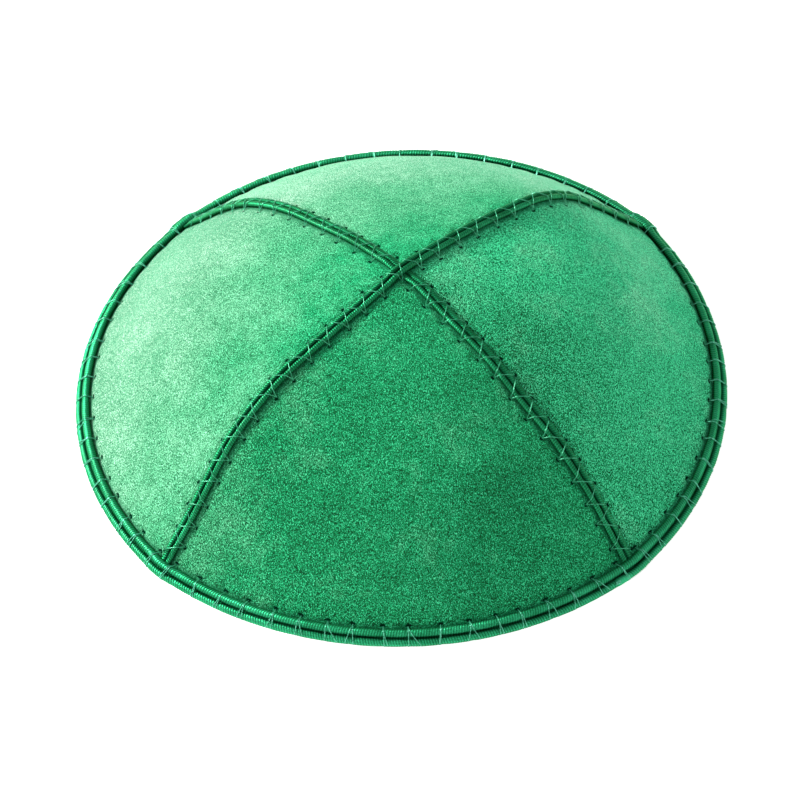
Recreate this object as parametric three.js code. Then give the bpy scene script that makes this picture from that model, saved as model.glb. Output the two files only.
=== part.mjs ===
// Skullcap of four suede panels, with braid sewn over the seams and round the rim.
// Units are millimetres and +Z is up. The cap stands on its rim at z = 0, with the origin at the middle of
// the rim's box. The front panel faces -Y, and the seams run out from the crown along the diagonals.
import * as THREE from 'three';

// Driving dimensions of the suede.
const RIM_RADIUS = 79; // from the crown's axis to the suede's outer face at the rim, before RIM_SHARE
const CROWN_HEIGHT = 43.6; // from the surface that the cap stands on to the suede's outer face at the crown
const SUEDE_THICKNESS = 1.2;
const SEAM_SLIT = 0.3; // between the butted edges of two panels

// Driving dimensions of the braids. Each is two round cords side by side with a groove between them.
const SEAM_BRAID_WIDTH = 3;
const SEAM_BRAID_THICKNESS = 0.9;
const RIM_BRAID_WIDTH = 4.6;
const RIM_BRAID_THICKNESS = 1.3;
const RIM_BRAID_OVERHANG = 0.95; // how far the rim braid reaches past the suede's cut edge
const SEWN_GAP = 0.3; // between a braid and what it is sewn on
const HUMP_RAMP = 3.6; // length in which one braid climbs over another

// Four panels meet at the crown, so that seams and panels' middles take turns every eighth of the way round.
const QUARTER = Math.PI / 2;
const HALF_PANEL = QUARTER / 2;

// The suede's outer face in each of those directions, anticlockwise from +X. rim is the rim's radius as a
// share of RIM_RADIUS. heights are shares of CROWN_HEIGHT, one for each of the shares of the rim's radius in
// HEIGHTS_AT. The seams stand a little proud of the panels, but the front right one is dented, and the rim
// is tucked in between the seams on the right.
const HEIGHTS_AT = [0, 0.2, 0.4, 0.55, 0.68, 0.8, 0.91, 1];
const DIRECTIONS = [
  { name: 'right', rim: 0.952, heights: [1, 0.94, 0.84, 0.725, 0.58, 0.375, 0.16, 0] },
  { name: 'back right', rim: 1.007, heights: [1, 0.975, 0.905, 0.83, 0.672, 0.43, 0.19, 0] },
  { name: 'back', rim: 1.022, heights: [1, 0.955, 0.86, 0.75, 0.59, 0.38, 0.16, 0] },
  { name: 'back left', rim: 1.006, heights: [1, 0.965, 0.868, 0.76, 0.613, 0.407, 0.178, 0] },
  { name: 'left', rim: 0.985, heights: [1, 0.95, 0.855, 0.745, 0.59, 0.385, 0.165, 0] },
  { name: 'front left', rim: 1.006, heights: [1, 0.945, 0.878, 0.792, 0.658, 0.418, 0.175, 0] },
  { name: 'front', rim: 0.985, heights: [1, 0.93, 0.83, 0.71, 0.575, 0.375, 0.16, 0] },
  { name: 'front right', rim: 0.984, heights: [1, 0.925, 0.817, 0.68, 0.557, 0.388, 0.172, 0] },
];

// Half lengths of the level top and of the whole of a hump where a braid lies over a seam braid.
const HUMP_TOP = SEAM_BRAID_WIDTH / 2 + SEWN_GAP;
const HUMP_FOOT = HUMP_TOP + HUMP_RAMP;

// How finely the curved faces are cut into flat ones.
const PANEL_ROWS = 16;
const PANEL_COLUMNS = 14;
const BRAID_STEPS_TO_RIM = 18;
const RIM_STEPS_BETWEEN_SEAMS = 18;
const RAMP_STEPS = 3;
const CORD_FACETS = 4;

// The suede's outer face, measured from the crown's axis.

// Height share in one direction: a cubic through its heights, level at the crown.
function heightShare({ heights }, radiusShare) {
  const last = HEIGHTS_AT.length - 1;
  const slope = (i) => {
    if (i === 0) return 0;
    const next = Math.min(i + 1, last);
    return (heights[next] - heights[i - 1]) / (HEIGHTS_AT[next] - HEIGHTS_AT[i - 1]);
  };
  let i = 0;
  while (i < last - 1 && radiusShare > HEIGHTS_AT[i + 1]) i += 1;
  const step = HEIGHTS_AT[i + 1] - HEIGHTS_AT[i];
  const t = (radiusShare - HEIGHTS_AT[i]) / step;
  return (
    (1 + 2 * t) * (1 - t) ** 2 * heights[i] +
    t * (1 - t) ** 2 * step * slope(i) +
    t ** 2 * (3 - 2 * t) * heights[i + 1] +
    t ** 2 * (t - 1) * step * slope(i + 1)
  );
}

// A value that changes from a panel's middle to its seams with the square of the distance, so that the
// panels are smooth and meet in a slight crease.
function blendAround(azimuth, valueIn) {
  const count = DIRECTIONS.length;
  const panel = Math.round(azimuth / QUARTER);
  const away = azimuth / QUARTER - panel;
  const middle = DIRECTIONS[(2 * panel + count) % count];
  const seam = DIRECTIONS[(2 * panel + Math.sign(away) + count) % count];
  return THREE.MathUtils.lerp(valueIn(middle), valueIn(seam), (2 * away) ** 2);
}

function rimRadius(azimuth) {
  return RIM_RADIUS * blendAround(azimuth, (direction) => direction.rim);
}

function height(azimuth, radiusShare) {
  return CROWN_HEIGHT * blendAround(azimuth, (direction) => heightShare(direction, radiusShare));
}

// How steeply the suede falls outwards, as an angle below level.
function fallAngle(azimuth, radiusShare) {
  const span = 0.01;
  const low = Math.min(radiusShare + span, 1);
  const high = Math.max(radiusShare - span, 0);
  if (high === 0) return 0;
  const drop = height(azimuth, high) - height(azimuth, low);
  return Math.atan2(drop, (low - high) * rimRadius(azimuth));
}

function pointAt(azimuth, radius, z) {
  return new THREE.Vector3(radius * Math.cos(azimuth), radius * Math.sin(azimuth), z);
}

// A point at a distance off the suede's outer face: square to it, but level at the rim, where everything
// is cut off flat at z = 0.
function offSuede(azimuth, radiusShare, distance) {
  const fall = fallAngle(azimuth, radiusShare);
  const radius = rimRadius(azimuth) * radiusShare;
  if (radiusShare === 1) return pointAt(azimuth, radius + distance / Math.sin(fall), 0);
  const z = height(azimuth, radiusShare) + distance * Math.cos(fall);
  return pointAt(azimuth, radius + distance * Math.sin(fall), z);
}

// Solids from rows of points.

// A closed mesh from points and from faces of three or four corners, anticlockwise seen from outside.
function solidGeometry(points, faces) {
  const corners = faces.flatMap((face) => {
    const [a, b, c, d] = face;
    return face.length === 4 ? [a, b, c, a, c, d] : face;
  });
  const geometry = new THREE.BufferGeometry().setFromPoints(points);
  geometry.setIndex(corners);
  const faceted = geometry.toNonIndexed();
  faceted.computeVertexNormals();
  return faceted;
}

// One cross-section of a braid: two cords on a flat foot. Across runs from -1 to 1 and up from 0 to 1.
function braidSection() {
  const section = [];
  for (const side of [1, -1]) {
    for (let k = side === 1 ? 0 : 1; k <= CORD_FACETS; k += 1) {
      const turn = (Math.PI * k) / CORD_FACETS;
      section.push({ across: side * 0.5 + 0.5 * Math.cos(turn), up: 0.5 + 0.5 * Math.sin(turn) });
    }
  }
  const footHalfWidth = 0.8;
  section.push({ across: -footHalfWidth, up: 0 }, { across: footHalfWidth, up: 0 });
  return section;
}

// Joins equal cross-sections, each a ring of points, into a strip with two ends or into a closed hoop.
function loft(rings, closed) {
  const around = rings[0].length;
  const faces = [];
  const joins = closed ? rings.length : rings.length - 1;
  for (let i = 0; i < joins; i += 1) {
    const next = (i + 1) % rings.length;
    for (let j = 0; j < around; j += 1) {
      const beside = (j + 1) % around;
      faces.push([i * around + j, i * around + beside, next * around + beside, next * around + j]);
    }
  }
  if (!closed) {
    const outline = braidSection().map((corner) => new THREE.Vector2(corner.across, corner.up));
    const lastRing = (rings.length - 1) * around;
    for (const [a, b, c] of THREE.ShapeUtils.triangulateShape(outline, [])) {
      faces.push([c, b, a], [lastRing + a, lastRing + b, lastRing + c]);
    }
  }
  return solidGeometry(rings.flat(), faces);
}

// Height of the hump of a braid that climbs over a seam braid, at a distance from that one's middle line.
function humpHeight(distance) {
  return (SEAM_BRAID_THICKNESS + SEWN_GAP) * (1 - THREE.MathUtils.smoothstep(distance, HUMP_TOP, HUMP_FOOT));
}

// Distances from the hump's middle at which it has sections.
const HUMP_STATIONS = [0];
for (let k = 0; k <= RAMP_STEPS; k += 1) {
  HUMP_STATIONS.push(THREE.MathUtils.lerp(HUMP_TOP, HUMP_FOOT, k / RAMP_STEPS));
}

// Parts.

const suedeMaterial = new THREE.MeshStandardMaterial({ color: 0x23a868, roughness: 0.95, metalness: 0 });
const braidMaterial = new THREE.MeshStandardMaterial({ color: 0x0f8f55, roughness: 0.6, metalness: 0 });

// A suede panel is a curved triangle with a wall. Its tip is at the crown, its foot is cut flat, and its two
// edges run half a slit away from the seams.
function panelGeometry(middleAzimuth) {
  const points = [];
  const index = new Map();
  const tipShare = SEAM_SLIT / 2 / Math.sin(HALF_PANEL) / RIM_RADIUS;
  const corner = (row, column, inside) => {
    const key = `${row} ${row === 0 ? 0 : column} ${inside}`;
    if (!index.has(key)) {
      const share = THREE.MathUtils.lerp(tipShare, 1, row / PANEL_ROWS);
      const fromSeam = Math.asin(Math.min(SEAM_SLIT / 2 / (share * RIM_RADIUS), Math.sin(HALF_PANEL)));
      const azimuth = middleAzimuth + (HALF_PANEL - fromSeam) * ((2 * column) / PANEL_COLUMNS - 1);
      index.set(key, points.push(offSuede(azimuth, share, inside ? -SUEDE_THICKNESS : 0)) - 1);
    }
    return index.get(key);
  };
  const faces = [];
  for (let row = 0; row < PANEL_ROWS; row += 1) {
    for (let column = 0; column < PANEL_COLUMNS; column += 1) {
      for (const inside of [false, true]) {
        const face = [
          corner(row, column, inside),
          corner(row + 1, column, inside),
          corner(row + 1, column + 1, inside),
          corner(row, column + 1, inside),
        ];
        if (row === 0) face.pop();
        faces.push(inside ? face.reverse() : face);
      }
    }
    for (const column of [0, PANEL_COLUMNS]) {
      const edge = [
        corner(row, column, false),
        corner(row, column, true),
        corner(row + 1, column, true),
        corner(row + 1, column, false),
      ];
      faces.push(column === 0 ? edge : edge.reverse());
    }
  }
  for (let column = 0; column < PANEL_COLUMNS; column += 1) {
    faces.push([
      corner(PANEL_ROWS, column, false),
      corner(PANEL_ROWS, column, true),
      corner(PANEL_ROWS, column + 1, true),
      corner(PANEL_ROWS, column + 1, false),
    ]);
  }
  return solidGeometry(points, faces);
}

// A seam braid runs from rim to rim over the crown. The upper one climbs over the lower one there.
function seamBraidGeometry(firstAzimuth, liesOver) {
  const arm = (azimuth) => {
    const nearCrown = HUMP_STATIONS.map((distance) => distance / rimRadius(azimuth));
    const toRim = Array.from({ length: BRAID_STEPS_TO_RIM }, (_, k) => (k + 1) / BRAID_STEPS_TO_RIM);
    const clearOfCrown = toRim.filter((share) => share > 1.1 * nearCrown.at(-1));
    return [...nearCrown, ...clearOfCrown].map((share) => ({ azimuth, share }));
  };
  const stations = [...arm(firstAzimuth).reverse().slice(0, -1), ...arm(firstAzimuth + Math.PI)];
  const sideways = new THREE.Vector3(Math.sin(firstAzimuth), -Math.cos(firstAzimuth), 0);
  const rings = stations.map(({ azimuth, share }) => {
    const climb = liesOver ? humpHeight(share * rimRadius(azimuth)) : 0;
    return braidSection().map(({ across, up }) =>
      offSuede(azimuth, share, SEWN_GAP + climb + up * SEAM_BRAID_THICKNESS)
        .addScaledVector(sideways, (across * SEAM_BRAID_WIDTH) / 2));
  });
  return loft(rings, false);
}

// The rim braid is a hoop along the suede's cut edge. It climbs over the ends of the seam braids, and its
// lower cord is flattened where the cap rests on it.
function rimBraidGeometry() {
  const nearSeam = HUMP_STATIONS.map((distance) => distance / RIM_RADIUS);
  const lastNear = nearSeam.at(-1);
  const between = Array.from(
    { length: RIM_STEPS_BETWEEN_SEAMS - 1 },
    (_, k) => THREE.MathUtils.lerp(lastNear, QUARTER - lastNear, (k + 1) / RIM_STEPS_BETWEEN_SEAMS),
  );
  const nearNext = nearSeam.slice(1).reverse().map((angle) => QUARTER - angle);
  const rings = [];
  for (let seam = HALF_PANEL; seam < 2 * Math.PI; seam += QUARTER) {
    for (const angle of [...nearSeam, ...between, ...nearNext]) {
      const azimuth = seam + angle;
      const climb = humpHeight(Math.min(angle, QUARTER - angle) * RIM_RADIUS);
      const fall = fallAngle(azimuth, 1);
      rings.push(braidSection().map(({ across, up }) => {
        const upSlope = ((across + 1) * RIM_BRAID_WIDTH) / 2 - RIM_BRAID_OVERHANG;
        const off = SEWN_GAP + climb + up * RIM_BRAID_THICKNESS;
        const radius = rimRadius(azimuth) - upSlope * Math.cos(fall) + off * Math.sin(fall);
        return pointAt(azimuth, radius, Math.max(upSlope * Math.sin(fall) + off * Math.cos(fall), 0));
      }));
    }
  }
  return loft(rings, true);
}

function named(name, geometry, material) {
  const mesh = new THREE.Mesh(geometry, material);
  mesh.name = name;
  return mesh;
}

const cap = new THREE.Group();
const panelNames = ['panel_right', 'panel_back', 'panel_left', 'panel_front'];
panelNames.forEach((name, k) => cap.add(named(name, panelGeometry(k * QUARTER), suedeMaterial)));
cap.add(named('seam_braid_upper', seamBraidGeometry(HALF_PANEL, true), braidMaterial));
cap.add(named('seam_braid_lower', seamBraidGeometry(HALF_PANEL + QUARTER, false), braidMaterial));
cap.add(named('rim_braid', rimBraidGeometry(), braidMaterial));

// The shape is measured from the crown's axis, so it is moved until the rim's box is centred.
const outside = new THREE.Box3().setFromObject(cap, true).getCenter(new THREE.Vector3());
cap.position.set(-outside.x, -outside.y, 0);

export default cap;
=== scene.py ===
import bmesh
import bpy
import numpy as np
from mathutils import Matrix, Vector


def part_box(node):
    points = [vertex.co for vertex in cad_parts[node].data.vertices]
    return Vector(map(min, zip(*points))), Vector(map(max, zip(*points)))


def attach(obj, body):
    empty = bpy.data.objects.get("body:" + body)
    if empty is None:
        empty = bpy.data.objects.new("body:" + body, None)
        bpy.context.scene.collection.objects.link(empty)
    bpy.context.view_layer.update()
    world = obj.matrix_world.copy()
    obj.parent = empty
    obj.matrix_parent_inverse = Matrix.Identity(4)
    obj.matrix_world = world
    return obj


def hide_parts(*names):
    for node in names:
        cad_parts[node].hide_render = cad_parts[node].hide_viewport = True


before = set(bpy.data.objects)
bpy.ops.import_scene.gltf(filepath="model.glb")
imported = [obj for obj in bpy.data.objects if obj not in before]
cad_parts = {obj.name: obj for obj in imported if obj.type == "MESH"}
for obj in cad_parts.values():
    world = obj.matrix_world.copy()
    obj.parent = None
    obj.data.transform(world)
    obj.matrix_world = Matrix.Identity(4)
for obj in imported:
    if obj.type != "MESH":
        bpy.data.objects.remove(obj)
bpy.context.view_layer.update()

MM = 0.001

# The camera stands in front of the cap, above it and a little to its right, far away behind a long lens,
# and is turned slightly about its line of sight. It aims just beside the crown's axis, which lies midway
# between the tips of opposite panels.
crown = np.array([
    (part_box("panel_right")[0][0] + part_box("panel_left")[1][0]) / 2 / MM,
    (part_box("panel_back")[0][1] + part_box("panel_front")[1][1]) / 2 / MM,
    0.0,
])
elevation, azimuth, roll = np.radians([47.25, 3.6, -2.46])
to_camera = np.array([
    np.sin(azimuth) * np.cos(elevation),
    -np.cos(azimuth) * np.cos(elevation),
    np.sin(elevation),
])
level_right = np.array([np.cos(azimuth), np.sin(azimuth), 0.0])
level_up = np.cross(to_camera, level_right)
view_right = np.cos(roll) * level_right + np.sin(roll) * level_up
view_up = np.cos(roll) * level_up - np.sin(roll) * level_right
camera_distance = 2000.0
aim_beside_crown = [-1.65, 0.0, -1.0]
pixels_per_mm = 4.184
picture_width_pixels = 800.0
sensor_width = 36.0
camera_at = crown + aim_beside_crown + camera_distance * to_camera
photo_camera = bpy.data.cameras.new("photo_camera")
photo_camera.sensor_width = sensor_width
photo_camera.lens = pixels_per_mm * camera_distance * sensor_width / picture_width_pixels
photo_camera.clip_end = 20.0
camera_object = bpy.data.objects.new("photo_camera", photo_camera)
bpy.context.scene.collection.objects.link(camera_object)
camera_object.matrix_world = Matrix([
    [*row, place * MM] for row, place in zip(np.stack([view_right, view_up, to_camera], 1), camera_at)
] + [[0.0, 0.0, 0.0, 1.0]])
bpy.context.scene.camera = camera_object

# The cap is cut from four curved triangles of green suede, 1.2 mm thick, nap side out. Their edges are
# butted and sewn, and the sewing draws the suede in beside each braid, with a dimple at each needle hole.
# The nap is brushed every which way, so that it is mottled and flecked. Its colour also holds painted sheen
# and painted light and shade, which stand for how each panel's nap catches the light.
rim_radius_most = 79.0
crown_height = 43.6
suede_thickness = 1.2
seam_slit = 0.3
quarter = np.pi / 2
half_panel = quarter / 2

# The outer face in the directions of the panels' middles and of the seams, anticlockwise from the right
# panel's middle: the rim's radius, heights at shares of that radius from the crown to the rim, and how
# the heights change there.
heights_at = np.array([0, 0.2, 0.4, 0.55, 0.68, 0.8, 0.91, 1])
rim_shares = np.array([0.952, 1.007, 1.022, 1.006, 0.985, 1.006, 0.985, 0.984])
heights = np.array([
    [1, 0.94, 0.84, 0.725, 0.58, 0.375, 0.16, 0],
    [1, 0.975, 0.905, 0.83, 0.672, 0.43, 0.19, 0],
    [1, 0.955, 0.86, 0.75, 0.59, 0.38, 0.16, 0],
    [1, 0.965, 0.868, 0.76, 0.613, 0.407, 0.178, 0],
    [1, 0.95, 0.855, 0.745, 0.59, 0.385, 0.165, 0],
    [1, 0.945, 0.878, 0.792, 0.658, 0.418, 0.175, 0],
    [1, 0.93, 0.83, 0.71, 0.575, 0.375, 0.16, 0],
    [1, 0.925, 0.817, 0.68, 0.557, 0.388, 0.172, 0],
])
slopes = np.zeros_like(heights)
slopes[:, 1:-1] = (heights[:, 2:] - heights[:, :-2]) / (heights_at[2:] - heights_at[:-2])
slopes[:, -1] = (heights[:, -1] - heights[:, -2]) / (heights_at[-1] - heights_at[-2])


def smoothstep(value, start, end):
    """Rises from 0 at start to 1 at end as 3 t squared less 2 t cubed."""
    t = np.clip((value - start) / (end - start), 0, 1)
    return t * t * (3 - 2 * t)


def height_share(direction, share):
    """Height as a share of the crown's: a cubic through the direction's heights, level at the crown."""
    i = np.searchsorted(heights_at[1:-1], share, side="left")
    step = heights_at[i + 1] - heights_at[i]
    t = (share - heights_at[i]) / step
    return (
        (1 + 2 * t) * (1 - t) ** 2 * heights[direction, i]
        + t * (1 - t) ** 2 * step * slopes[direction, i]
        + t ** 2 * (3 - 2 * t) * heights[direction, i + 1]
        + t ** 2 * (t - 1) * step * slopes[direction, i + 1]
    )


def blend_around(azimuth, value_in):
    """A value that goes from a panel's middle to its seams with the square of the distance between."""
    turns = azimuth / quarter
    panel = np.round(turns).astype(int)
    away = turns - panel
    middle = (2 * panel) % 8
    seam = (2 * panel + np.sign(away).astype(int)) % 8
    return value_in(middle) + (value_in(seam) - value_in(middle)) * (2 * away) ** 2


def rim_radius(azimuth):
    """The rim's radius in a direction."""
    return rim_radius_most * blend_around(azimuth, lambda direction: rim_shares[direction])


def suede_height(azimuth, share):
    """Height of the outer face above the table."""
    azimuth, share = np.broadcast_arrays(azimuth, share)
    return crown_height * blend_around(azimuth, lambda direction: height_share(direction, share))


def fall_angle(azimuth, share):
    """How steeply the outer face falls outwards: the angle of its drop over a short radial step."""
    low = np.minimum(share + 0.01, 1)
    high = np.maximum(share - 0.01, 0)
    drop = suede_height(azimuth, high) - suede_height(azimuth, low)
    return np.arctan2(drop, (low - high) * rim_radius(azimuth))


def point_at(azimuth, radius, z):
    """A point from its direction and distance from the crown's axis, and its height."""
    return np.stack([crown[0] + radius * np.cos(azimuth), crown[1] + radius * np.sin(azimuth), z], -1)


turns_level_within = 4


def off_suede(azimuth, share, distance):
    """A point at a distance off the outer face, square to it. Near the rim the offset turns level,
    because the suede is cut off flat there, and grows to keep the suede's thickness."""
    fall = fall_angle(azimuth, share)
    near_rim = 1 - smoothstep((1 - share) * rim_radius(azimuth), 0, turns_level_within)
    lift = (np.pi / 2 - fall) * (1 - near_rim)
    length = distance / np.sin(fall + lift)
    radius = rim_radius(azimuth) * share + length * np.cos(lift)
    return point_at(azimuth, radius, suede_height(azimuth, share) + length * np.sin(lift))


# Needle holes: a row on each side of each seam's braid, staggered, from near the crown to the rim braid,
# and a row above the rim braid. A place beside a row has a stitch number that is whole at each hole.
seam_braid_half = 1.5
rim_braid_width = 4.15
rim_braid_overhang = 0.95
rim_braid_up = rim_braid_width - rim_braid_overhang
seam_pitch = 6.1
seam_hole_beyond = 1.05
seam_hole_strays = 0.5
seam_holes_above_rim_braid = 1.2
seam_holes_clear_of_crossing = {0: 0.5, 1: 3.0}  # keyed by first arm: the upper braid, the lower braid
rim_pitch = 6.9
rim_hole_beyond = 0.75
rim_hole_strays = 0.75
rim_holes_per_panel = 18
rim_holes_clear_of_seam = 3.4
sewing_chance = np.random.default_rng(7)
arm_azimuths = half_panel + quarter * np.arange(4)
run_shares = np.linspace(0, 1, 600)


def arm_lengths(arm):
    """Length along the suede from the crown to each of run_shares, over a seam: the sum of the steps."""
    radius = run_shares * rim_radius(arm_azimuths[arm])
    steps = np.hypot(np.diff(radius), np.diff(suede_height(arm_azimuths[arm], run_shares)))
    return np.concatenate([[0], np.cumsum(steps)])


arm_runs = [arm_lengths(arm) for arm in range(4)]


def braid_holes(first_arm, side):
    """Places of the needle holes on one side of a seam braid, along it from the crown towards its second
    arm. The lower braid has none where the upper one lies over it."""
    more_than_fit = np.arange(-20, 20)
    places = seam_pitch * (more_than_fit + (0.25 if side > 0 else 0.75))
    places += sewing_chance.uniform(-seam_hole_strays, seam_hole_strays, places.size)
    room = rim_braid_up + seam_holes_above_rim_braid
    first_end, second_end = (arm_runs[arm][-1] - room for arm in (first_arm, first_arm + 2))
    clear = np.abs(places) > seam_holes_clear_of_crossing[first_arm]
    return places[(places > -first_end) & (places < second_end) & clear]


holes_of_braid = {(first_arm, side): braid_holes(first_arm, side) for first_arm in (0, 1) for side in (-1, 1)}


def seam_holes(arm, side):
    """Lengths from the crown of the needle holes on one side of a seam, -1 clockwise or 1 anticlockwise."""
    outwards = 1 if arm >= 2 else -1
    row = holes_of_braid[arm % 2, side * outwards] * outwards
    return np.sort(row[row > 0])


holes_of_seam = {(arm, side): seam_holes(arm, side) for arm in range(4) for side in (-1, 1)}


def rim_hole_azimuths():
    """Directions of the needle holes above the rim braid, clear of the seam braids."""
    clear = rim_holes_clear_of_seam / rim_radius_most
    one_panel = np.linspace(half_panel + clear, half_panel + quarter - clear, rim_holes_per_panel)
    every = np.concatenate([one_panel + quarter * panel for panel in range(4)])
    return every + sewing_chance.uniform(-rim_hole_strays, rim_hole_strays, every.size) / rim_radius_most


rim_holes = rim_hole_azimuths()


def seam_stitch_number(run, holes):
    """A running number along a seam: whole at each hole, and half a number past the ends of the row."""
    ends = [holes[0] - seam_pitch / 2, holes[-1] + seam_pitch / 2]
    marks = np.concatenate([ends[:1], holes, ends[1:]])
    numbers = np.concatenate([[-0.5], np.arange(holes.size), [holes.size - 0.5]])
    return np.interp(run, marks, numbers)


def rim_stitch_number(azimuth):
    """A running number round the rim, whole at each hole."""
    holes = np.sort(rim_holes % (2 * np.pi))
    holes = np.concatenate([holes[-3:] - 2 * np.pi, holes, holes[:3] + 2 * np.pi])
    return np.interp(azimuth % (2 * np.pi), holes, np.arange(holes.size))


def to_nearest_hole(number, pitch):
    """Distance along a row from the nearest hole."""
    return np.abs(number - np.round(number)) * pitch


trough_depth = 0.32
trough_starts, trough_ends = -0.2, 1.7
dimple_depth = 0.3
dimple_length, dimple_width = 0.75, 0.65
pucker_height = 0.13
pucker_beyond, pucker_width = 1.6, 1.5


def drawn_in(number, beyond, pitch, hole_at):
    """How far sewing draws the suede in, from the stitch number and the distance beyond the braid's edge:
    a trough under the braid, a dimple at each hole, and puckers that swell between the holes."""
    trough = trough_depth * (1 - smoothstep(beyond, trough_starts, trough_ends))
    along = to_nearest_hole(number, pitch) / dimple_length
    dimple = dimple_depth * np.exp(-along ** 2 - ((beyond - hole_at) / dimple_width) ** 2)
    fade = np.exp(-((beyond - pucker_beyond) / pucker_width) ** 2)
    return trough + dimple + pucker_height * np.cos(2 * np.pi * number) * fade


wave_count = 14
wave_height = 0.55
wave_chance = np.random.default_rng(21)
wave_directions = wave_chance.normal(size=(wave_count, 3))
wave_directions /= np.linalg.norm(wave_directions, axis=1)[:, None]
wave_lengths = wave_chance.uniform(11, 34, wave_count)
wave_phases = wave_chance.uniform(0, 2 * np.pi, wave_count)


def soft_waves(points):
    """Slight waves of the hand-stretched suede: the mean of sines in many directions and lengths."""
    phase = (points @ wave_directions.T) * (2 * np.pi / wave_lengths) + wave_phases
    return np.sin(phase).mean(-1) * wave_height


# Each panel's colour holds painted light and shade for how its nap catches the light: how much painted sheen
# it takes on its slopes, how bright it is painted on the level, on the slopes and towards its anticlockwise
# side, how strongly it is flecked, and how much painted shade darkens the shoulder by its clockwise seam (a
# negative value lightens it).
panel_naps_and_painted_light = {
    "panel_right": (0.25, 0.08, 0.33, 0.5, 1.5, 0.27),
    "panel_back": (1.25, 0.08, 0.0, 0.1, 0.9, 0.0),
    "panel_left": (0.95, 0.13, -0.24, 0.2, 0.9, -0.09),
    "panel_front": (0.55, -0.03, -0.14, 0.0, 1.0, 0.0),
}


# Where the painted sheen lies: strongest on the slopes at the back left, towards the key lamp, and only where
# the face falls more steeply than a least fall.
painted_sheen_azimuth = np.radians(120)
painted_sheen_span, painted_sheen_narrowing, painted_sheen_least = 2.4, 1.2, -0.25
painted_sheen_from_fall = 0.13
shoulder_steepness, shoulder_spread = 21, 9
shoulder_starts, shoulder_full = -0.4, 0.5


def nap_and_painted_light(panel, middle, azimuth, share):
    """Three values for the suede's colour: the share of painted sheen, strongest on the slopes at the back
    left; painted light and shade by slope, direction and shoulder; and how strongly the nap is flecked."""
    painted_sheen_share, level, slope, turn, flecked, shoulder_shade = panel_naps_and_painted_light[panel]
    steepness = fall_angle(azimuth, share)
    fall = np.sin(steepness)
    shoulder = np.exp(-((np.degrees(steepness) - shoulder_steepness) / shoulder_spread) ** 2)
    shoulder = shoulder * smoothstep(middle - azimuth, shoulder_starts, shoulder_full)
    towards = 0.5 + 0.5 * np.cos(azimuth - painted_sheen_azimuth)
    stroke = painted_sheen_span * towards ** painted_sheen_narrowing + painted_sheen_least
    # back: the share of painted sheen.
    back = painted_sheen_share * np.maximum(fall - painted_sheen_from_fall, 0) * stroke
    # Painted light and shade by slope and direction, with painted shade on the shoulder by the clockwise
    # seam.
    painted_light_and_shade = level + slope * fall + turn * fall * (azimuth - middle) - shoulder_shade * shoulder
    return np.stack([back, painted_light_and_shade, flecked + 0 * fall], -1)


def grid_faces(rows, columns, wrap):
    """Quads between neighbouring points of a grid that is numbered row by row. wrap closes each row."""
    row = (np.arange(rows - 1) * columns)[:, None]
    column = np.arange(columns if wrap else columns - 1)[None, :]
    beside = (column + 1) % columns
    quads = [row + column, row + beside, row + columns + beside, row + columns + column]
    return np.stack(quads, -1).reshape(-1, 4)


doubled_within = 1e-7
crease_angle = np.radians(60)


def new_piece(name, points, faces, finish, stands_for=None, marks=None):
    """Makes a closed piece from points in millimetres and faces, merges its doubled points and turns its
    faces outwards. marks are values for its points that its finish reads."""
    mesh = bpy.data.meshes.new(name)
    mesh.from_pydata((points.reshape(-1, 3) * MM).tolist(), [], [list(face) for face in faces])
    for mark, values in (marks or {}).items():
        attribute = mesh.attributes.new(mark, "FLOAT_VECTOR", "POINT")
        attribute.data.foreach_set("vector", values.astype(np.float32).ravel())
    joined = bmesh.new()
    joined.from_mesh(mesh)
    bmesh.ops.remove_doubles(joined, verts=joined.verts, dist=doubled_within)
    bmesh.ops.recalc_face_normals(joined, faces=joined.faces)
    joined.to_mesh(mesh)
    joined.free()
    mesh.shade_smooth()
    mesh.set_sharp_from_angle(angle=crease_angle)
    mesh.materials.append(finish)
    piece = bpy.data.objects.new(name, mesh)
    bpy.context.scene.collection.objects.link(piece)
    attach(piece, "root")
    if stands_for:
        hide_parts(stands_for)
    return piece


class Socket:
    """An output socket of a finish. Sums, differences, products and quotients add their Math nodes."""

    def __init__(self, finish, socket):
        self.finish = finish
        self.socket = socket

    def maths(self, operation, *values):
        return self.finish.node("ShaderNodeMath", {"operation": operation}, dict(enumerate(values)))

    def __add__(self, other):
        return self.maths("ADD", self, other)

    def __sub__(self, other):
        return self.maths("SUBTRACT", self, other)

    def __rsub__(self, other):
        return self.maths("SUBTRACT", other, self)

    def __mul__(self, other):
        return self.maths("MULTIPLY", self, other)

    def __truediv__(self, other):
        return self.maths("DIVIDE", self, other)

    def __pow__(self, other):
        return self.maths("POWER", self, other)

    __radd__ = __add__
    __rmul__ = __mul__


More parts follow.
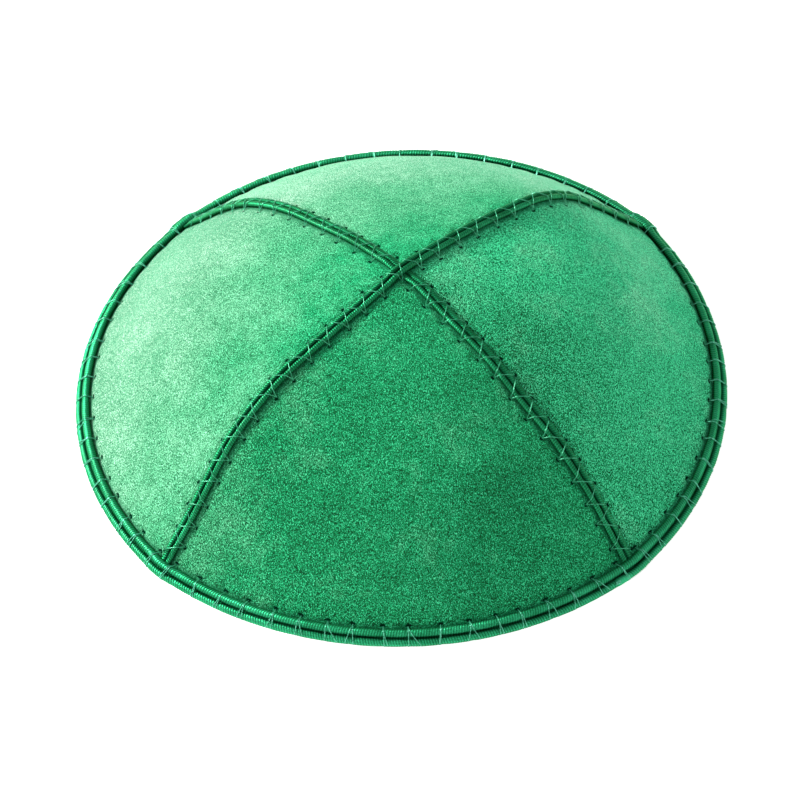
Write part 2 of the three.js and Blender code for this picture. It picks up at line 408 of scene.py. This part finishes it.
class Finish:
    """A material in the making. node adds a node of a type, sets it, fills its sockets, and gives one of
    its outputs."""

    def __init__(self, name):
        self.material = bpy.data.materials.new(name)
        self.material.use_nodes = True
        self.tree = self.material.node_tree
        self.tree.nodes.clear()

    def node(self, kind, settings=None, inputs=None, output=0):
        node = self.tree.nodes.new(kind)
        for setting, value in (settings or {}).items():
            if setting == "stops":
                ramp = node.color_ramp
                while len(ramp.elements) < len(value):
                    ramp.elements.new(0.5)
                for stop, (place, colour) in zip(ramp.elements, value):
                    stop.position = place
                    stop.color = (*colour, 1.0)
            else:
                setattr(node, setting, value)
        for name, value in (inputs or {}).items():
            if isinstance(value, Socket):
                self.tree.links.new(value.socket, node.inputs[name])
            else:
                node.inputs[name].default_value = value
        return Socket(self, node.outputs[output])

    def noise(self, size, detail=2.0, roughness=0.5, place=None):
        """Noise between about 0 and 1 whose blotches are about size millimetres across."""
        if place is None:
            place = self.node("ShaderNodeTexCoord", output="Object")
        inputs = {"Vector": place, "Scale": 1 / (size * MM), "Detail": detail, "Roughness": roughness}
        return self.node("ShaderNodeTexNoise", None, inputs)

    def mark(self, name):
        """The three values of a mark on the piece's points."""
        values = self.node("ShaderNodeAttribute", {"attribute_name": name}, output="Vector")
        first = self.node("ShaderNodeSeparateXYZ", None, {0: values})
        return [Socket(self, part) for part in first.socket.node.outputs]

    def ramp(self, value, stops):
        """A colour that a value picks between stops."""
        return self.node("ShaderNodeValToRGB", {"stops": stops}, {"Fac": value})

    def mix(self, factor, first, second, blend="MIX"):
        """A mix of two colours."""
        settings = {"data_type": "RGBA", "blend_type": blend}
        return self.node("ShaderNodeMix", settings, {0: factor, 6: first, 7: second}, output=2)

    def spread(self, value, start, end, low=0.0, high=1.0):
        """Takes a value from start..end to low..high, and holds it there outside."""
        inputs = {"Value": value, "From Min": start, "From Max": end, "To Min": low, "To Max": high}
        return self.node("ShaderNodeMapRange", {"clamp": True}, inputs)

    def surface(self, colour, roughness, bump, lustre):
        """A surface shader. lustre holds the settings of its sheen and shine."""
        inputs = {"Base Color": colour, "Roughness": roughness, "Normal": bump, **lustre}
        return self.node("ShaderNodeBsdfPrincipled", None, inputs)

    def cover(self, surface):
        """Ends the finish in a surface shader, and gives its material."""
        end = self.tree.nodes.new("ShaderNodeOutputMaterial")
        self.tree.links.new(surface.socket, end.inputs["Surface"])
        return self.material


cloud_size, mottle_size, grain_size, fibre_size = 17.0, 3.2, 0.36, 0.2
grain_stretch = (1.6, 0.9, 0.9)
grain_strength, fibre_strength = 4.0, 3.4
hole_edge_wander_size = 4.0
nap_relief = 0.4
# The colour of the painted shade inside the needle holes.
hole_shade_colour = (0.0006, 0.025, 0.01, 1.0)
# The colour of the painted shade in the band beside each braid.
braid_edge_shade_colour = (0.002, 0.09, 0.032, 1.0)


def suede_finish():
    """Green suede: a mottled nap with pale and dark flecks. Painted sheen turns it paler and painted light
    and shade brighten and darken it, both from the nap mark; the needle holes are painted dark as painted
    shade, and a band of painted shade lies beside each braid."""
    suede = Finish("suede")
    cloud = suede.noise(cloud_size, detail=3.0)
    mottle = suede.noise(mottle_size, detail=3.0, roughness=0.6)
    place = suede.node("ShaderNodeTexCoord", output="Object")
    drawn = suede.node("ShaderNodeVectorMath", {"operation": "MULTIPLY"}, {0: place, 1: grain_stretch})
    grain = suede.noise(grain_size, detail=2.0, roughness=0.65, place=drawn)
    fibre = suede.noise(fibre_size, detail=1.0, place=drawn)
    painted_sheen, painted_light_and_shade, flecked = suede.mark("nap")
    flecks = ((grain - 0.5) * grain_strength + (fibre - 0.5) * fibre_strength) * flecked
    # Tone: random cloud and mottle, flecks, and the painted light and shade.
    tone = (cloud - 0.5) * 0.35 + (mottle - 0.5) * 0.4 + flecks + painted_light_and_shade + 0.5
    tone = tone * 0.6 + 0.2
    deep = suede.ramp(tone, [
        (0.0, (0.0002, 0.02, 0.005)),
        (0.2, (0.0006, 0.045, 0.012)),
        (0.41, (0.002, 0.16, 0.048)),
        (0.59, (0.006, 0.28, 0.098)),
        (0.8, (0.026, 0.5, 0.2)),
        (1.0, (0.09, 0.8, 0.4)),
    ])
    # The colour of the painted sheen: a whitish green.
    pale = suede.ramp(tone, [
        (0.0, (0.015, 0.07, 0.035)),
        (0.2, (0.035, 0.12, 0.065)),
        (0.44, (0.1, 0.29, 0.165)),
        (0.62, (0.2, 0.42, 0.265)),
        (0.8, (0.4, 0.6, 0.45)),
        (1.0, (0.6, 0.8, 0.64)),
    ])
    # The share of painted sheen, varied by the cloud and mottle.
    painted_sheen_share = painted_sheen + (cloud - 0.5) * 0.6 + (mottle - 0.5) * 0.3
    green = suede.mix(suede.spread(painted_sheen_share, 0.0, 1.0), deep, pale)
    wander = suede.noise(hole_edge_wander_size, detail=1.0)
    holes = 0.0
    braid_edge_shade = 0.0
    sewing_rows = [
        ("seam_sewing", seam_pitch, seam_hole_beyond, 0.52, 0.36),
        ("rim_sewing", rim_pitch, rim_hole_beyond, 0.8, 0.42),
    ]
    for mark, pitch, hole_at, hole_length, hole_width in sewing_rows:
        number, beyond, _ = suede.mark(mark)
        whole = number.maths("FRACT", number + 0.5) - 0.5
        along = whole * (pitch / hole_length) + (mottle - 0.5) * 1.2
        off = (beyond - hole_at + (wander - 0.5) * 0.9) / hole_width
        apart = (along * along + off * off) ** 0.5 + (grain - 0.5) * 0.8
        holes = holes + suede.spread(apart, 0.75, 1.25, 1.0, 0.0)
        # Painted shade in a band under and just beside each braid's edge.
        braid_edge_shade = braid_edge_shade + suede.spread(beyond, -0.1, 0.9, 1.0, 0.0)
    # The suede's colour mixed towards the painted shade in that band.
    edge_shaded = suede.mix(suede.spread(braid_edge_shade, 0.0, 1.0, 0.0, 0.6), green, braid_edge_shade_colour)
    relief = grain * 0.8 + fibre * 0.4 + mottle * 0.4
    bump_settings = {"Strength": 1.0, "Distance": nap_relief * MM, "Height": relief}
    bump = suede.node("ShaderNodeBump", None, bump_settings)
    nap_surface = suede.surface(edge_shaded, 0.95, bump, {
        "Sheen Weight": 0.55,
        "Sheen Roughness": 0.4,
        "Sheen Tint": (0.08, 0.95, 0.44, 1.0),
        "Specular IOR Level": 0.1,
    })
    # The needle holes are a dark surface without sheen, painted shade inside them.
    dark = suede.surface(hole_shade_colour, 0.9, bump, {"Specular IOR Level": 0.0})
    through = suede.spread(holes, 0.0, 1.0)
    return suede.cover(suede.node("ShaderNodeMixShader", None, {0: through, 1: nap_surface, 2: dark}))


suede = suede_finish()
panel_rows = 170
panel_columns = 150
rows_towards_rim = 0.35
columns_towards_seams = 0.58
waves_start, waves_full = 3, 12
inner_face_drawn = 0.3
no_holes_inside = [0, 50, 0]


def suede_panel(panel, middle):
    """Points, sewing marks and nap of a panel. Each row is a ring: the outer face from edge to edge and back
    along the inner face. Rows and columns crowd towards the rim and the seams, where the sewing is. The
    needle holes stay off the inner face, because its marks lie far beyond them."""
    tip_share = seam_slit / 2 / np.sin(half_panel) / rim_radius_most
    even = np.linspace(0, 1, panel_rows + 1)
    crowded = (1 + rows_towards_rim) * even - rows_towards_rim * even ** 3
    share = (tip_share + (1 - tip_share) * crowded)[:, None]
    even = np.linspace(-1, 1, panel_columns + 1)
    across = (1 - columns_towards_seams) * even + columns_towards_seams * np.sin(np.pi / 2 * even)
    from_seam = np.arcsin(np.minimum(seam_slit / 2 / (share * rim_radius_most), np.sin(half_panel)))
    azimuth = middle + (half_panel - from_seam) * across[None, :]
    share = np.broadcast_to(share, azimuth.shape)
    radius = rim_radius(azimuth) * share

    clockwise_arm = int(round((middle - half_panel) / quarter - 0.5)) % 4
    anticlockwise_arm = (clockwise_arm + 1) % 4
    seam_number = np.zeros_like(azimuth)
    to_seam = radius * np.sin(half_panel - np.abs(azimuth - middle))
    along_radius = radius * np.cos(half_panel - np.abs(azimuth - middle))
    for arm, side, here in [(clockwise_arm, 1, azimuth < middle), (anticlockwise_arm, -1, azimuth >= middle)]:
        along_share = np.minimum(along_radius / rim_radius(arm_azimuths[arm]), 1)
        run = np.interp(along_share, run_shares, arm_runs[arm])
        seam_number = np.where(here, seam_stitch_number(run, holes_of_seam[arm, side]), seam_number)
    seam_beyond = to_seam - seam_braid_half
    rim_number = rim_stitch_number(azimuth)
    up_slope = (1 - share) * rim_radius(azimuth) / np.cos(fall_angle(azimuth, np.ones_like(share)))
    rim_beyond = up_slope - rim_braid_up

    drawn = drawn_in(seam_number, seam_beyond, seam_pitch, seam_hole_beyond)
    drawn = np.maximum(drawn, drawn_in(rim_number, rim_beyond, rim_pitch, rim_hole_beyond))
    waves = soft_waves(off_suede(azimuth, share, 0.0)) * smoothstep(up_slope, waves_start, waves_full)
    outer = off_suede(azimuth, share, waves - drawn)
    inner = off_suede(azimuth, share, waves - inner_face_drawn * drawn - suede_thickness)
    outer[..., 2] = np.maximum(outer[..., 2], 0)
    inner[..., 2] = np.maximum(inner[..., 2], 0)
    points = np.concatenate([outer, inner[:, ::-1]], 1)
    seam_mark = np.stack([seam_number, seam_beyond, 0 * share], -1)
    rim_mark = np.stack([rim_number, rim_beyond, 0 * share], -1)
    # The nap mark holds painted sheen, painted light and shade, and the flecking.
    nap = nap_and_painted_light(panel, middle, azimuth, share)
    marks = {
        "nap": np.concatenate([nap, nap[:, ::-1]], 1),
        "seam_sewing": np.concatenate([seam_mark, seam_mark[:, ::-1] + no_holes_inside], 1),
        "rim_sewing": np.concatenate([rim_mark, rim_mark[:, ::-1] + no_holes_inside], 1),
    }
    return points, marks


for node, middle in [("panel_right", 0.0), ("panel_back", 1.0), ("panel_left", 2.0), ("panel_front", 3.0)]:
    points, marks = suede_panel(node, middle * quarter)
    rows, around = points.shape[:2]
    faces = grid_faces(rows, around, wrap=True).tolist()
    foot = (rows - 1) * around
    for column in range(panel_columns):
        back = around - 1 - column
        faces.append([foot + column, foot + column + 1, foot + back - 1, foot + back])
    new_piece("suede_" + node, points, faces, suede, node, marks)

# A two-cord braid, 3 mm wide, is sewn flat over each pair of seams, from rim to rim over the crown. It is
# plaited of fine green thread that slants away from the groove between its cords. The braid from the
# front left to the back right was sewn on last, and climbs over the other at the crown.
seam_braid_top = 1.12
seam_braid_foot = -0.35
hump_top = 1.8
hump_foot = 5.4
upper_braid_rise = 0.62
lower_braid_pressed = 0.45
plait_pitch = 0.58
plait_slant = 0.85
rings_per_rib = 4
rib_height = 0.038
seam_pinch = 0.14
pinch_reach = 0.8
braid_end_inset = 0.5
braid_end_pressed = 0.55
pressed_until, full_height_from = 3.0, 6.5
cord_points = 13
cord_overlap = 1.03
groove_turn, foot_turn = 163, -90


def braid_section(half_width, foot, top):
    """One cross-section of a braid, as a ring of across, up, slant and groove shade: two oval cords that
    touch in a deep groove. Slant goes from 0 in the groove to 1 round the outer side of each cord. The groove
    shade, which the finish paints as painted shade, is 0 on the crests, and rises to 1 in the groove and at
    the outer feet."""
    turn = np.linspace(groove_turn, foot_turn, cord_points)
    across = half_width / 2 * (1 + cord_overlap * np.cos(np.radians(turn)))
    up = (foot + top) / 2 + (top - foot) / 2 * np.sin(np.radians(turn))
    slant = np.linspace(0, 1, cord_points)
    # Painted shade: none on the crests, full in the groove and at the outer feet.
    groove_shade = np.maximum(smoothstep(turn, 98, 145), smoothstep(-turn, -30, 20))
    right = np.stack([across, up, slant, groove_shade], -1)
    left = np.stack([-across, up, slant, groove_shade], -1)
    return np.concatenate([right, left[::-1]], 0)


def hump(distance, rise):
    """Rise of a braid over a seam braid, at a distance from that one's middle line: level, then a ramp."""
    return rise * (1 - smoothstep(np.abs(distance), hump_top, hump_foot))


def braid_finish():
    """Green plaited thread with a satin lustre. Painted light and shade make it lighter on the crests of the
    plait's ribs and darker between them, and painted light makes the rim braid lighter, most at its end by
    the knot; painted shade darkens the groove and the cords' outer feet."""
    braid = Finish("braid")
    crest, groove_shade, lightened = braid.mark("plait")
    fibre = braid.noise(0.22, detail=2.0, roughness=0.6)
    patch = braid.noise(6.0, detail=2.0)
    # Tone: painted light and shade on the rib crests, random fibre and patches, and painted light on the rim
    # braid.
    tone = crest * 0.2 + (fibre - 0.5) * 0.9 + (patch - 0.5) * 0.5 + lightened * 0.5 + 0.5
    green = braid.ramp(tone, [
        (0.0, (0.0003, 0.035, 0.009)),
        (0.5, (0.003, 0.125, 0.042)),
        (1.0, (0.03, 0.4, 0.18)),
    ])
    # Painted shade in the groove and at the outer feet of the cords, where the coat also fades.
    groove_shaded = braid.mix(groove_shade * 0.85, green, (0.0002, 0.02, 0.006, 1.0))
    relief = fibre + crest * 0.3
    bump = braid.node("ShaderNodeBump", None, {"Strength": 0.7, "Distance": 0.1 * MM, "Height": relief})
    return braid.cover(braid.surface(groove_shaded, braid.spread(fibre, 0.3, 0.7, 0.32, 0.44), bump, {
        "Metallic": 0.8,
        "Specular IOR Level": 0.3,
        "Specular Tint": (0.15, 1.0, 0.5, 1.0),
        "Coat Weight": (1.0 - groove_shade) ** 2.0 * 0.1,
        "Coat Roughness": 0.28,
    }))


braid = braid_finish()


def on_seam(arm, run, across, off):
    """A point by a seam: run along the suede from the crown, across it anticlockwise, and off the suede's
    face, square to the seam's curve."""
    azimuth = arm_azimuths[arm]
    share = np.interp(run, arm_runs[arm], run_shares)
    fall = fall_angle(azimuth, share)
    middle = point_at(azimuth, rim_radius(azimuth) * share + off * np.sin(fall),
                      suede_height(azimuth, share) + off * np.cos(fall))
    sideways = np.array([-np.sin(azimuth), np.cos(azimuth), 0.0])
    return middle + np.asarray(across)[..., None] * sideways


def on_braid(first_arm, place, across, off):
    """A point by a seam braid, at a place along it from the crown towards its second arm."""
    first = on_seam(first_arm, np.abs(place), -across, off)
    second = on_seam(first_arm + 2, np.abs(place), across, off)
    return np.where((place < 0)[..., None], first, second)


def share_of_rise(up, foot, top):
    """How much of a rise a place in a braid takes up: none at its foot, which stays on the suede."""
    return np.clip((up - foot) / (top - foot), 0, 1)


def crown_rise(first_arm, place, up):
    """Rise of the upper braid over the lower one at the crown."""
    rise = hump(place, upper_braid_rise) if first_arm == 0 else 0 * place
    return rise * share_of_rise(up, seam_braid_foot, seam_braid_top)


def seam_braid(first_arm):
    """Points and marks of a braid from the rim over the crown to the rim. The rings slant with the plait,
    four to a rib, and their points rise and fall by the cosine of the rib. The lower braid is pressed
    flatter under the upper one, and the ends of both under the rim braid."""
    lengths = [arm_runs[arm][-1] - braid_end_inset for arm in (first_arm, first_arm + 2)]
    section = braid_section(seam_braid_half, seam_braid_foot, seam_braid_top)
    step = plait_pitch / rings_per_rib
    count = int(sum(lengths) / step) + 1
    index = np.arange(count)[:, None]
    run = index * step - lengths[0] + plait_slant * (section[None, :, 2] - 0.5)
    run = np.clip(run, -lengths[0], lengths[1])
    rib = np.cos(index * 2 * np.pi / rings_per_rib + 0 * run)
    across, up = section[None, :, 0] + 0 * run, section[None, :, 1] + 0 * run
    centre = np.sign(across) * seam_braid_half / 2
    middle_up = (seam_braid_foot + seam_braid_top) / 2

    pinch = np.zeros_like(run)
    for arm, sign in ((first_arm, -1), (first_arm + 2, 1)):
        for side in (-1, 1):
            near = to_nearest_hole(seam_stitch_number(run * sign, holes_of_seam[arm, side]), seam_pitch)
            on_side = (np.sign(across) == side * sign) & (run * sign > 0)
            pinch = np.where(on_side, seam_pinch * np.exp(-(near / pinch_reach) ** 2), pinch)
    swell = 1 - pinch + rib_height * rib * np.sin(np.pi * section[None, :, 2]) ** 0.5
    across = centre + (across - centre) * swell
    up = middle_up + (up - middle_up) * swell
    if first_arm == 1:
        up = np.where(up > 0, up * (1 - hump(run, lower_braid_pressed)), up)
    from_end = np.where(run < 0, run + lengths[0], lengths[1] - run)
    rising = smoothstep(from_end, pressed_until, full_height_from)
    up = np.where(up > 0, up * (braid_end_pressed + (1 - braid_end_pressed) * rising), up)

    sway = 0.12 * np.sin(run / 9.0 + first_arm) + 0.07 * np.sin(run / 3.7)
    points = on_braid(first_arm, run, across + sway, up + crown_rise(first_arm, run, up))
    marks = np.stack([rib, section[None, :, 3] + 0 * run, 0 * run], -1)
    return points, {"plait": marks}


for node, first_arm in [("seam_braid_upper", 0), ("seam_braid_lower", 1)]:
    points, marks = seam_braid(first_arm)
    rows, around = points.shape[:2]
    faces = grid_faces(rows, around, wrap=True).tolist()
    faces.append(list(range(around)))
    faces.append(list(range((rows - 1) * around, rows * around)))
    new_piece("dressed_" + node, points, faces, braid, node, marks)

# A wider braid of the same make, 4.2 mm, is sewn along the rim, a little past the suede's cut edge. It
# climbs over the pressed ends of the seam braids, and its lower cord is flattened on the table. Its
# ends meet at the front right, where the lower cord is fresh and a little swollen, and are tied in a knot.
rim_braid_foot = -0.4
rim_braid_top = 1.45
rim_braid_rise = 0.6
rim_ribs = 760
rim_plait_slant = 1.2
rim_pinch = 0.09
rim_cords_uneven = 0.018
rim_rib_height = 0.045
# How much lighter the rim braid is painted, as painted light; more at its fresh end by the knot.
rim_braid_painted_lighter = 0.35
knot_azimuth = np.radians(310.4)
fresh_fades, fresh_ends = 3.2, 4.4
fresh_swelling = 0.12


def by_rim(azimuth, up_slope, off):
    """A point by the rim: up the slope from the suede's cut edge, and off the suede's face."""
    fall = fall_angle(azimuth, np.ones_like(azimuth))
    radius = rim_radius(azimuth) - up_slope * np.cos(fall) + off * np.sin(fall)
    return point_at(azimuth, radius, np.maximum(up_slope * np.sin(fall) + off * np.cos(fall), 0))


def rim_hump(azimuth, up):
    """Rise of the rim braid over the nearest seam braid's end."""
    from_seam = (azimuth - half_panel) % quarter
    rise = hump(np.minimum(from_seam, quarter - from_seam) * rim_radius_most, rim_braid_rise)
    return rise * share_of_rise(up, rim_braid_foot, rim_braid_top)


def rim_braid():
    """Points and marks of the rim braid: a hoop of rings that slant with the plait, four to a rib. Its
    cords are a little uneven, and its ribs stand out most at the back."""
    section = braid_section(rim_braid_width / 2, rim_braid_foot, rim_braid_top)
    rings = rings_per_rib * rim_ribs
    index = np.arange(rings)[:, None]
    slant = rim_plait_slant * (section[None, :, 2] - 0.5) / rim_radius_most
    azimuth = index * (2 * np.pi / rings) + slant
    rib = np.cos(index * 2 * np.pi / rings_per_rib + 0 * azimuth)
    across, up = section[None, :, 0] + 0 * azimuth, section[None, :, 1] + 0 * azimuth
    centre = np.sign(across) * rim_braid_width / 4
    middle_up = (rim_braid_foot + rim_braid_top) / 2
    near = to_nearest_hole(rim_stitch_number(azimuth), rim_pitch)
    pinch = rim_pinch * np.exp(-(near / pinch_reach) ** 2)
    past_knot = ((azimuth - knot_azimuth) % (2 * np.pi)) * rim_radius_most
    lightened = smoothstep(past_knot, 0, 0.5) * (1 - smoothstep(past_knot, fresh_fades, fresh_ends))
    lightened = lightened * (across < 0)
    uneven = np.sin(17 * azimuth + 1.1 * np.sign(across)) + np.sin(41 * azimuth) + np.sin(68 * azimuth + 2)
    tight = rim_rib_height + 0.012 * np.sin(9 * azimuth + 1) - 0.014 * np.cos(azimuth - 1.5 * np.pi)
    ribs = tight * rib * np.sin(np.pi * section[None, :, 2]) ** 0.5
    swell = 1 - pinch + ribs + fresh_swelling * lightened + rim_cords_uneven * uneven
    across = centre + (across - centre) * swell
    up = middle_up + (up - middle_up) * swell
    up_slope = across + rim_braid_width / 2 - rim_braid_overhang
    points = by_rim(azimuth, up_slope, up + rim_hump(azimuth, up))
    # The painted light on the rim braid, full at its fresh end.
    paler = rim_braid_painted_lighter + (1 - rim_braid_painted_lighter) * lightened
    return points, {"plait": np.stack([rib, section[None, :, 3] + 0 * azimuth, paler], -1)}


points, marks = rim_braid()
rows, around = points.shape[:2]
faces = grid_faces(rows, around, wrap=True)
last = (rows - 1) * around
column = np.arange(around)
beside = (column + 1) % around
joint = np.stack([last + column, last + beside, beside, column], -1)
new_piece("dressed_rim_braid", points, np.concatenate([faces, joint]).tolist(), braid,
          "rim_braid", marks)

# The seam braids are sewn down with a zigzag of fine green thread, which comes up through the suede beside
# the braid, slants over both cords and goes down on the other side. Inside the cap the same zigzag shows.
thread_radius = 0.1
thread_sides = 6


def thread_finish(name, dark, pale):
    """Green thread, twisted of a dark and a pale strand, smooth and a little shiny."""
    thread = Finish(name)
    twist = thread.noise(0.35, detail=1.0)
    green = thread.ramp(twist, [(0.3, dark), (0.7, pale)])
    bump = thread.node("ShaderNodeBump", None, {"Strength": 0.4, "Distance": 0.05 * MM, "Height": twist})
    return thread.cover(thread.surface(green, 0.34, bump, {
        "Metallic": 0.5,
        "Specular IOR Level": 0.2,
        "Specular Tint": (0.4, 1.0, 0.8, 1.0),
        "Coat Weight": 0.4,
        "Coat Roughness": 0.25,
    }))


seam_thread = thread_finish("seam_thread", (0.008, 0.18, 0.07), (0.06, 0.44, 0.24))


def threads(name, thread, paths, outward):
    """Makes a piece of many short threads. Each ring of a thread is a circle square to its path, and its
    ends are closed. outward holds the directions away from the suede along the paths."""
    along = np.gradient(paths, axis=1)
    along /= np.linalg.norm(along, axis=-1, keepdims=True)
    side = np.cross(along, outward)
    side /= np.linalg.norm(side, axis=-1, keepdims=True)
    lift = np.cross(side, along)
    turn = np.arange(thread_sides) * 2 * np.pi / thread_sides
    ring = np.cos(turn)[:, None] * side[:, :, None] + np.sin(turn)[:, None] * lift[:, :, None]
    points = paths[:, :, None] + thread_radius * ring
    points[..., 2] = np.maximum(points[..., 2], 0)
    count, stations = paths.shape[:2]
    one = grid_faces(stations, thread_sides, wrap=True)
    start = (np.arange(count) * stations * thread_sides)[:, None, None]
    faces = (one[None] + start).reshape(-1, 4).tolist()
    cap = np.arange(thread_sides)[None] + start[:, 0]
    faces += cap.tolist() + (cap + (stations - 1) * thread_sides).tolist()
    return new_piece(name, points, faces, thread)


def on_cords(across, half_width, foot, top):
    """Height of a thread's middle over a braid: taut from crest to crest, and round their outer sides."""
    from_crest = np.clip((np.abs(across) - half_width / 2) / (half_width / 2 * cord_overlap), 0, 1)
    return (foot + top) / 2 + (top - foot) / 2 * np.sqrt(1 - from_crest ** 2) + 0.5 * thread_radius


shortest_leg, longest_leg = 0.9, 5.2


def zigzag_legs(first_arm):
    """Places of the two ends of each leg of the zigzag along a seam braid, first on its -1 side."""
    minus, plus = holes_of_braid[first_arm, -1], holes_of_braid[first_arm, 1]
    apart = plus[None, :] - minus[:, None]
    near = (np.abs(apart) > shortest_leg) & (np.abs(apart) < longest_leg)
    if first_arm == 1:
        near &= (plus[None, :] * minus[:, None]) > 0
    here, there = np.nonzero(near)
    return np.stack([minus[here], plus[there]], 1)


def seam_stitches(inside):
    """Paths of the zigzag over the seam braids, or of the one inside the cap, and the directions away from
    the suede along them."""
    edge = seam_braid_half
    if inside:
        far = np.array([0, 0.5, 1.0, 1.8, edge + 0.45, edge + 0.6])
        off = np.array([-1.42, -1.42, -1.42, -1.42, -1.36, -0.9])
    else:
        far = np.array([0, edge / 2, edge * 0.72, edge * 0.92, edge + 0.1, edge + 0.78, edge + 0.88])
        off = on_cords(far, edge, seam_braid_foot, seam_braid_top)
        off[-3:] = 0.45, -0.4, -1.0
    across = np.concatenate([-far[:0:-1], far])
    off = np.concatenate([off[:0:-1], off])
    paths, outward = [], []
    for first_arm in (0, 1):
        ends = zigzag_legs(first_arm)
        way = np.clip(across / (2 * edge + 1.5) + 0.5, 0, 1)
        place = ends[:, :1] + (ends[:, 1:] - ends[:, :1]) * way
        rise = 0 * place if inside else crown_rise(first_arm, place, off) * (np.abs(across) < edge)
        paths.append(on_braid(first_arm, place, across + 0 * place, off + rise))
        outward.append(on_braid(first_arm, place, across + 0 * place, off + rise + 1) - paths[-1])
    return np.concatenate(paths), np.concatenate(outward)


threads("seam_stitches", seam_thread, *seam_stitches(inside=False))
threads("seam_stitches_inside", seam_thread, *seam_stitches(inside=True))


# The rim braid is sewn on with a thread painted lighter than the seams' thread, as painted light, which was
# fed unevenly. From each needle hole in the suede one thread goes down over both cords and round the lower
# edge, and another comes back up. Inside the cap the thread runs from hole to hole.
rim_thread_painted_lighter = thread_finish("rim_thread_painted_lighter", (0.012, 0.24, 0.11), (0.12, 0.55, 0.36))


first_lean_least, first_lean_most = -1.3, 0.6
legs_apart_least = 0.2
leg_bend = 0.25


def rim_stitches():
    """Paths of the threads over the rim braid, from each hole in the suede to the braid's lower edge."""
    chance = np.random.default_rng(9)
    half = rim_braid_width / 2
    across = np.array([half + 0.64, half + 0.55, half + 0.06, half * 0.88, half * 0.7, half / 2, half / 4, 0,
                       -half / 4, -half / 2, -half * 0.75, -half * 0.92, -half, -half + 0.15])
    off = on_cords(across, half, rim_braid_foot, rim_braid_top)
    off[:3] = -1.0, -0.42, 0.5
    off[-1] = 0.25
    down = (across[0] - across) / (2 * half)
    first_lean = chance.uniform(first_lean_least, first_lean_most, rim_holes.size)
    apart = np.maximum(chance.uniform(-0.9, 2.7, rim_holes.size), legs_apart_least)
    leans = [first_lean, first_lean + apart]
    paths, outward = [], []
    for lean in leans:
        bend = chance.uniform(-leg_bend, leg_bend, rim_holes.size)[:, None]
        bend = bend * np.sin(np.pi * np.minimum(down, 1))
        azimuth = rim_holes[:, None] + (lean[:, None] * down + bend) / rim_radius_most
        up_slope = across + half - rim_braid_overhang + 0 * azimuth
        height = off + rim_hump(azimuth, off) * (across < half)
        paths.append(by_rim(azimuth, up_slope, height))
        outward.append(by_rim(azimuth, up_slope, height + 1) - paths[-1])
    return np.concatenate(paths), np.concatenate(outward)


def inside_rim_stitches():
    """Paths of the threads inside the cap, from each hole above the rim to the next."""
    holes = np.sort(rim_holes % (2 * np.pi))
    onwards = np.roll(holes, -1)
    onwards[-1] += 2 * np.pi
    way = np.array([0, 0.03, 0.2, 0.5, 0.8, 0.97, 1])
    azimuth = holes[:, None] + (onwards - holes)[:, None] * way
    off = np.array([-0.9, -1.36, -1.4, -1.4, -1.4, -1.36, -0.9]) + 0 * azimuth
    up_slope = rim_braid_up + rim_hole_beyond + 0 * azimuth
    paths = by_rim(azimuth, up_slope, off)
    return paths, by_rim(azimuth, up_slope, off + 1) - paths


knot_turns = 4.5
knot_half_length, knot_half_width, knot_height = 0.4, 0.34, 0.25


def knot():
    """Path of the thread that ties the rim braid's ends: a coil on the lower cord's crest."""
    turn = np.linspace(0, knot_turns * 2 * np.pi, 46)[None]
    azimuth = knot_azimuth + (knot_half_length * np.cos(turn) + 0.03 * turn) / rim_radius_most
    up_slope = rim_braid_width / 4 - rim_braid_overhang + knot_half_width * np.sin(turn)
    crest = rim_braid_top + rim_hump(azimuth, rim_braid_top) + 0.05
    off = crest + knot_height * np.sin(turn * 0.5) ** 2
    path = by_rim(azimuth, up_slope, off)
    return path, by_rim(azimuth, up_slope, off + 1) - path


threads("rim_stitches", rim_thread_painted_lighter, *rim_stitches())
threads("rim_stitches_inside", rim_thread_painted_lighter, *inside_rim_stitches())
threads("rim_knot", rim_thread_painted_lighter, *knot())

# The cap stands on a white light table, in soft light from the left and paler light all round. The table's
# and the lamps' sizes and distances are in metres.
table_reach = 3.0
table_mesh = bpy.data.meshes.new("table")
corners = [(table_reach * x, table_reach * y, 0) for x, y in [(-1, -1), (1, -1), (1, 1), (-1, 1)]]
table_mesh.from_pydata(corners, [], [(0, 1, 2, 3)])
table = bpy.data.objects.new("table", table_mesh)
bpy.context.scene.collection.objects.link(table)
white = Finish("table_white")
white_grain = white.noise(40.0, detail=2.0)
white_bump = white.node("ShaderNodeBump", None, {"Strength": 0.02, "Height": white_grain})
glow = {"Emission Color": (1.0, 1.0, 1.0, 1.0), "Emission Strength": 0.55}
table_mesh.materials.append(white.cover(white.surface((0.93, 0.93, 0.93, 1.0), 0.8, white_bump, glow)))


lamp_distance = 2.4


def soft_lamp(name, direction, size, power):
    """A square lamp that stands off the cap in a direction and shines on it."""
    lamp = bpy.data.lights.new(name, "AREA")
    lamp.size = size
    lamp.energy = power
    stand = bpy.data.objects.new(name, lamp)
    bpy.context.scene.collection.objects.link(stand)
    outward = np.array(direction, float)
    outward /= np.linalg.norm(outward)
    level = np.cross([0, 0, 1], outward)
    level /= np.linalg.norm(level)
    axes = np.stack([level, np.cross(outward, level), outward], 1)
    stand.matrix_world = Matrix([
        [*row, place] for row, place in zip(axes, outward * lamp_distance)
    ] + [[0.0, 0.0, 0.0, 1.0]])


soft_lamp("key", (-0.79, 0.3, 0.54), 0.4, 114.0)
soft_lamp("front", (-0.58, -0.58, 0.57), 0.4, 16.0)
soft_lamp("fill", (0.92, 0.02, 0.4), 1.2, 11.0)
sky = bpy.data.worlds.new("studio")
sky.use_nodes = True
sky.node_tree.nodes["Background"].inputs["Color"].default_value = (1.0, 1.0, 1.0, 1.0)
sky.node_tree.nodes["Background"].inputs["Strength"].default_value = 0.62
bpy.context.scene.world = sky
bpy.context.scene.view_settings.view_transform = "Standard"
